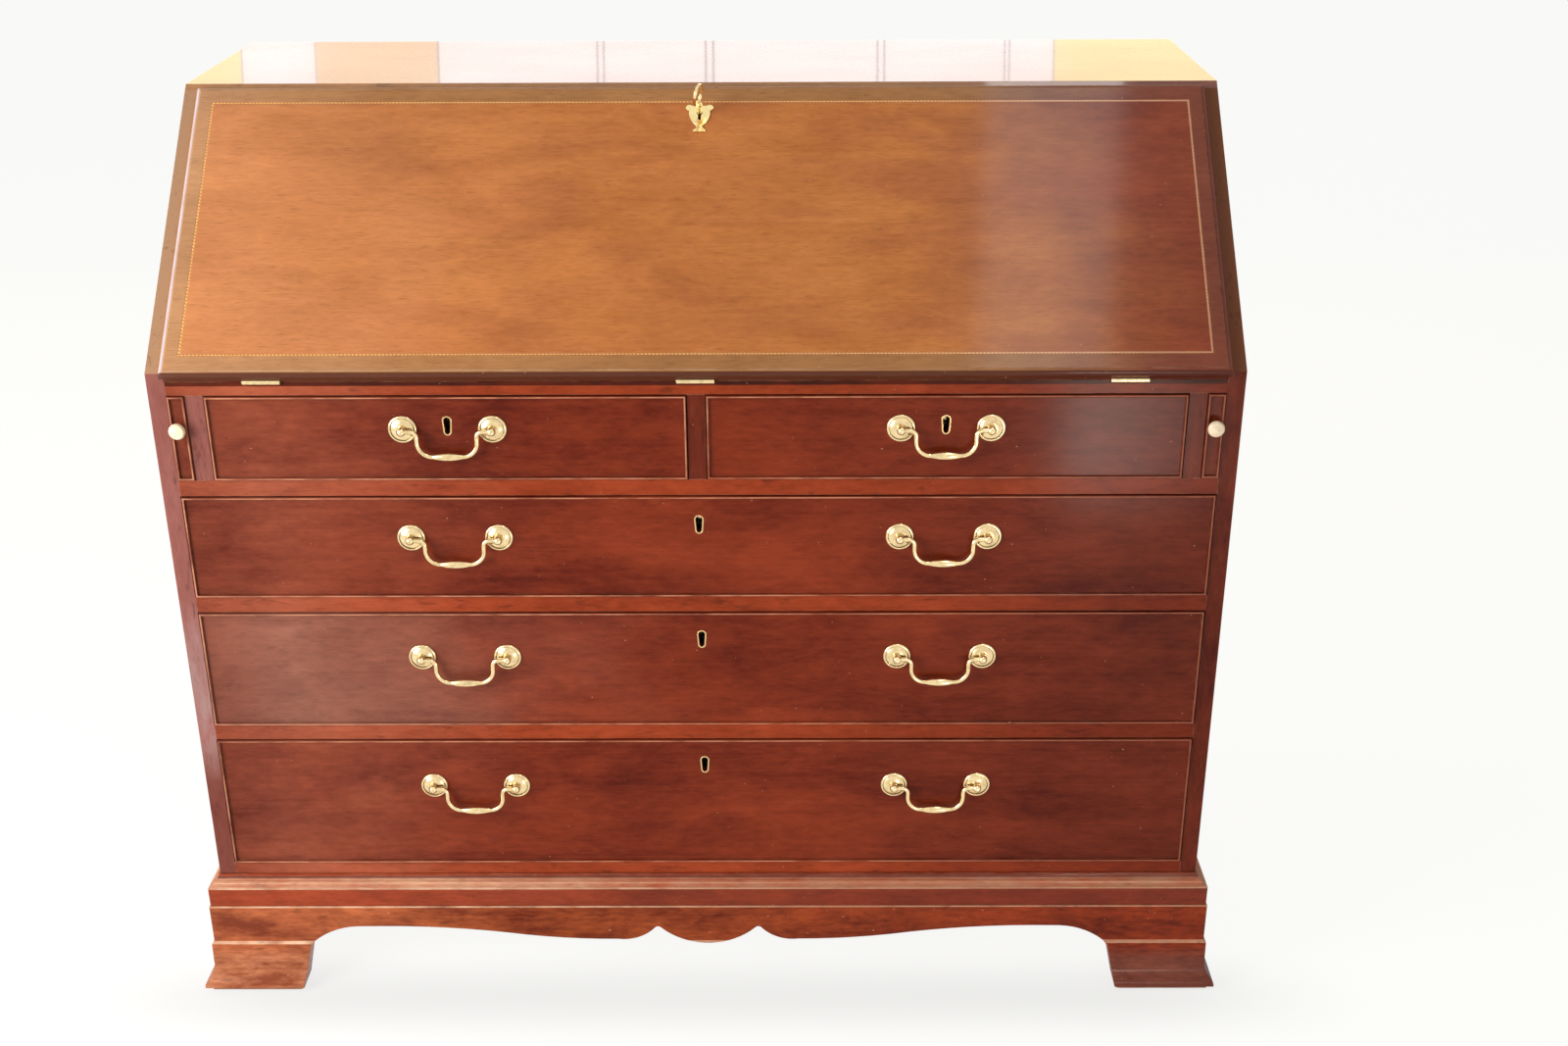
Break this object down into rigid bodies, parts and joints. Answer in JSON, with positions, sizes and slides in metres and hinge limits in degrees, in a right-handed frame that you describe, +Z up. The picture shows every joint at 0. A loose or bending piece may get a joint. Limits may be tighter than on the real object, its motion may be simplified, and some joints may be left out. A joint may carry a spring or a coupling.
{
  "type": "slant-front bureau",
  "caption": "Slant-front writing bureau: a hinged fall on pull-out lopers over graduated drawers with swan-neck handles, pigeonholes inside, on bracket feet.",
  "frame": {"origin": "on the floor, at the middle of the footprint", "axes": "+X to the right seen from the front, +Y to the back, +Z up"},
  "size_m": [1.217, 0.5716, 1.0458],
  "materials": {
    "mahogany": "french polished red-brown mahogany",
    "fall_veneer": "glossy golden-brown mahogany veneer",
    "drawer_veneer": "polished dark red-brown mahogany veneer",
    "inner_mahogany": "waxed mahogany",
    "oak": "dry oak",
    "boxwood": "boxwood line",
    "leather": "worn green leather",
    "brass": "pale polished brass",
    "bone": "turned and polished bone"
  },
  "bodies": {
    "carcase": {"left_side": "mahogany", "right_side": "mahogany", "top_board": "mahogany", "front_rails": "mahogany", "dustboards": "oak", "writing_bed": "mahogany", "case_floor": "oak", "back_boards": "oak", "drawer_uprights": "mahogany", "base_moulding": "mahogany", "bracket_feet": "mahogany", "front_apron": "mahogany", "glue_blocks": "oak", "case_hinge_leaves": "brass", "pigeonhole_boards": "inner_mahogany", "pigeonhole_valances": "inner_mahogany"},
    "fall": {"fall_board": "fall_veneer", "fall_stringing": "boxwood", "fall_leather": "leather", "fall_lock_case": "brass", "fall_escutcheon": "brass", "fall_hinge_leaves": "brass"},
    "fall_bolt": {"fall_lock_bolt": "brass"},
    "key": {"fall_key": "brass"},
    "short_left_drawer": {"short_left_drawer_front": "drawer_veneer", "short_left_drawer_box": "oak", "short_left_drawer_brasses": "brass"},
    "short_left_drawer_bolt": {"short_left_drawer_lock_bolt": "brass"},
    "short_left_drawer_bail": {"short_left_drawer_bail": "brass"},
    "short_right_drawer": {"short_right_drawer_front": "drawer_veneer", "short_right_drawer_box": "oak", "short_right_drawer_brasses": "brass"},
    "short_right_drawer_bolt": {"short_right_drawer_lock_bolt": "brass"},
    "short_right_drawer_bail": {"short_right_drawer_bail": "brass"},
    "upper_long_drawer": {"upper_long_drawer_front": "drawer_veneer", "upper_long_drawer_box": "oak", "upper_long_drawer_brasses": "brass"},
    "upper_long_drawer_bolt": {"upper_long_drawer_lock_bolt": "brass"},
    "upper_long_drawer_left_bail": {"upper_long_drawer_left_bail": "brass"},
    "upper_long_drawer_right_bail": {"upper_long_drawer_right_bail": "brass"},
    "middle_long_drawer": {"middle_long_drawer_front": "drawer_veneer", "middle_long_drawer_box": "oak", "middle_long_drawer_brasses": "brass"},
    "middle_long_drawer_bolt": {"middle_long_drawer_lock_bolt": "brass"},
    "middle_long_drawer_left_bail": {"middle_long_drawer_left_bail": "brass"},
    "middle_long_drawer_right_bail": {"middle_long_drawer_right_bail": "brass"},
    "lower_long_drawer": {"lower_long_drawer_front": "drawer_veneer", "lower_long_drawer_box": "oak", "lower_long_drawer_brasses": "brass"},
    "lower_long_drawer_bolt": {"lower_long_drawer_lock_bolt": "brass"},
    "lower_long_drawer_left_bail": {"lower_long_drawer_left_bail": "brass"},
    "lower_long_drawer_right_bail": {"lower_long_drawer_right_bail": "brass"},
    "left_loper": {"left_loper": "mahogany", "left_loper_knob": "bone"},
    "right_loper": {"right_loper": "mahogany", "right_loper_knob": "bone"},
    "small_drawer_1": {"small_drawer_1": "inner_mahogany"},
    "small_drawer_2": {"small_drawer_2": "inner_mahogany"},
    "small_drawer_3": {"small_drawer_3": "inner_mahogany"},
    "small_drawer_4": {"small_drawer_4": "inner_mahogany"}
  },
  "joints": [
    {"name": "fall_hinge", "type": "hinge", "parent": "carcase", "child": "fall", "pos_m": [0, -0.25825, 0.7715], "axis": [1, 0, 0], "range_deg": [0, 135.69]},
    {"name": "key_turn", "type": "hinge", "parent": "fall", "child": "key", "pos_m": [0, -0.03184, 1.00064], "axis": [0, -0.6985, 0.7156], "range_deg": [0, 360]},
    {"name": "fall_bolt_slide", "type": "slide", "parent": "fall", "child": "fall_bolt", "axis": [0, 0.7156, 0.6985], "range_m": [0, 0.009]},
    {"name": "short_left_drawer_slide", "type": "slide", "parent": "carcase", "child": "short_left_drawer", "axis": [0, -1, 0], "range_m": [0, 0.4]},
    {"name": "short_left_drawer_bolt_slide", "type": "slide", "parent": "short_left_drawer", "child": "short_left_drawer_bolt", "axis": [0, 0, 1], "range_m": [0, 0.008]},
    {"name": "short_left_drawer_bail_swing", "type": "hinge", "parent": "short_left_drawer", "child": "short_left_drawer_bail", "pos_m": [-0.26575, -0.26625, 0.7177], "axis": [-1, 0, 0], "range_deg": [-4, 110]},
    {"name": "short_right_drawer_slide", "type": "slide", "parent": "carcase", "child": "short_right_drawer", "axis": [0, -1, 0], "range_m": [0, 0.4]},
    {"name": "short_right_drawer_bolt_slide", "type": "slide", "parent": "short_right_drawer", "child": "short_right_drawer_bolt", "axis": [0, 0, 1], "range_m": [0, 0.008]},
    {"name": "short_right_drawer_bail_swing", "type": "hinge", "parent": "short_right_drawer", "child": "short_right_drawer_bail", "pos_m": [0.26575, -0.26625, 0.7177], "axis": [-1, 0, 0], "range_deg": [-4, 110]},
    {"name": "upper_long_drawer_slide", "type": "slide", "parent": "carcase", "child": "upper_long_drawer", "axis": [0, -1, 0], "range_m": [0, 0.4]},
    {"name": "upper_long_drawer_bolt_slide", "type": "slide", "parent": "upper_long_drawer", "child": "upper_long_drawer_bolt", "axis": [0, 0, 1], "range_m": [0, 0.008]},
    {"name": "upper_long_drawer_left_bail_swing", "type": "hinge", "parent": "upper_long_drawer", "child": "upper_long_drawer_left_bail", "pos_m": [-0.267, -0.26625, 0.591], "axis": [-1, 0, 0], "range_deg": [-4, 110]},
    {"name": "upper_long_drawer_right_bail_swing", "type": "hinge", "parent": "upper_long_drawer", "child": "upper_long_drawer_right_bail", "pos_m": [0.267, -0.26625, 0.591], "axis": [-1, 0, 0], "range_deg": [-4, 110]},
    {"name": "middle_long_drawer_slide", "type": "slide", "parent": "carcase", "child": "middle_long_drawer", "axis": [0, -1, 0], "range_m": [0, 0.4]},
    {"name": "middle_long_drawer_bolt_slide", "type": "slide", "parent": "middle_long_drawer", "child": "middle_long_drawer_bolt", "axis": [0, 0, 1], "range_m": [0, 0.008]},
    {"name": "middle_long_drawer_left_bail_swing", "type": "hinge", "parent": "middle_long_drawer", "child": "middle_long_drawer_left_bail", "pos_m": [-0.267, -0.26625, 0.4435], "axis": [-1, 0, 0], "range_deg": [-4, 110]},
    {"name": "middle_long_drawer_right_bail_swing", "type": "hinge", "parent": "middle_long_drawer", "child": "middle_long_drawer_right_bail", "pos_m": [0.267, -0.26625, 0.4435], "axis": [-1, 0, 0], "range_deg": [-4, 110]},
    {"name": "lower_long_drawer_slide", "type": "slide", "parent": "carcase", "child": "lower_long_drawer", "axis": [0, -1, 0], "range_m": [0, 0.4]},
    {"name": "lower_long_drawer_bolt_slide", "type": "slide", "parent": "lower_long_drawer", "child": "lower_long_drawer_bolt", "axis": [0, 0, 1], "range_m": [0, 0.008]},
    {"name": "lower_long_drawer_left_bail_swing", "type": "hinge", "parent": "lower_long_drawer", "child": "lower_long_drawer_left_bail", "pos_m": [-0.267, -0.26625, 0.275], "axis": [-1, 0, 0], "range_deg": [-4, 110]},
    {"name": "lower_long_drawer_right_bail_swing", "type": "hinge", "parent": "lower_long_drawer", "child": "lower_long_drawer_right_bail", "pos_m": [0.267, -0.26625, 0.275], "axis": [-1, 0, 0], "range_deg": [-4, 110]},
    {"name": "left_loper_slide", "type": "slide", "parent": "carcase", "child": "left_loper", "axis": [0, -1, 0], "range_m": [0, 0.3]},
    {"name": "right_loper_slide", "type": "slide", "parent": "carcase", "child": "right_loper", "axis": [0, -1, 0], "range_m": [0, 0.3]},
    {"name": "small_drawer_1_slide", "type": "slide", "parent": "carcase", "child": "small_drawer_1", "axis": [0, -1, 0], "range_m": [0, 0.15]},
    {"name": "small_drawer_2_slide", "type": "slide", "parent": "carcase", "child": "small_drawer_2", "axis": [0, -1, 0], "range_m": [0, 0.15]},
    {"name": "small_drawer_3_slide", "type": "slide", "parent": "carcase", "child": "small_drawer_3", "axis": [0, -1, 0], "range_m": [0, 0.15]},
    {"name": "small_drawer_4_slide", "type": "slide", "parent": "carcase", "child": "small_drawer_4", "axis": [0, -1, 0], "range_m": [0, 0.15]}
  ],
  "couplings": [
    {"joint": "fall_bolt_slide", "follows": "key_turn", "m_per_rad": 0.0014324}
  ]
}
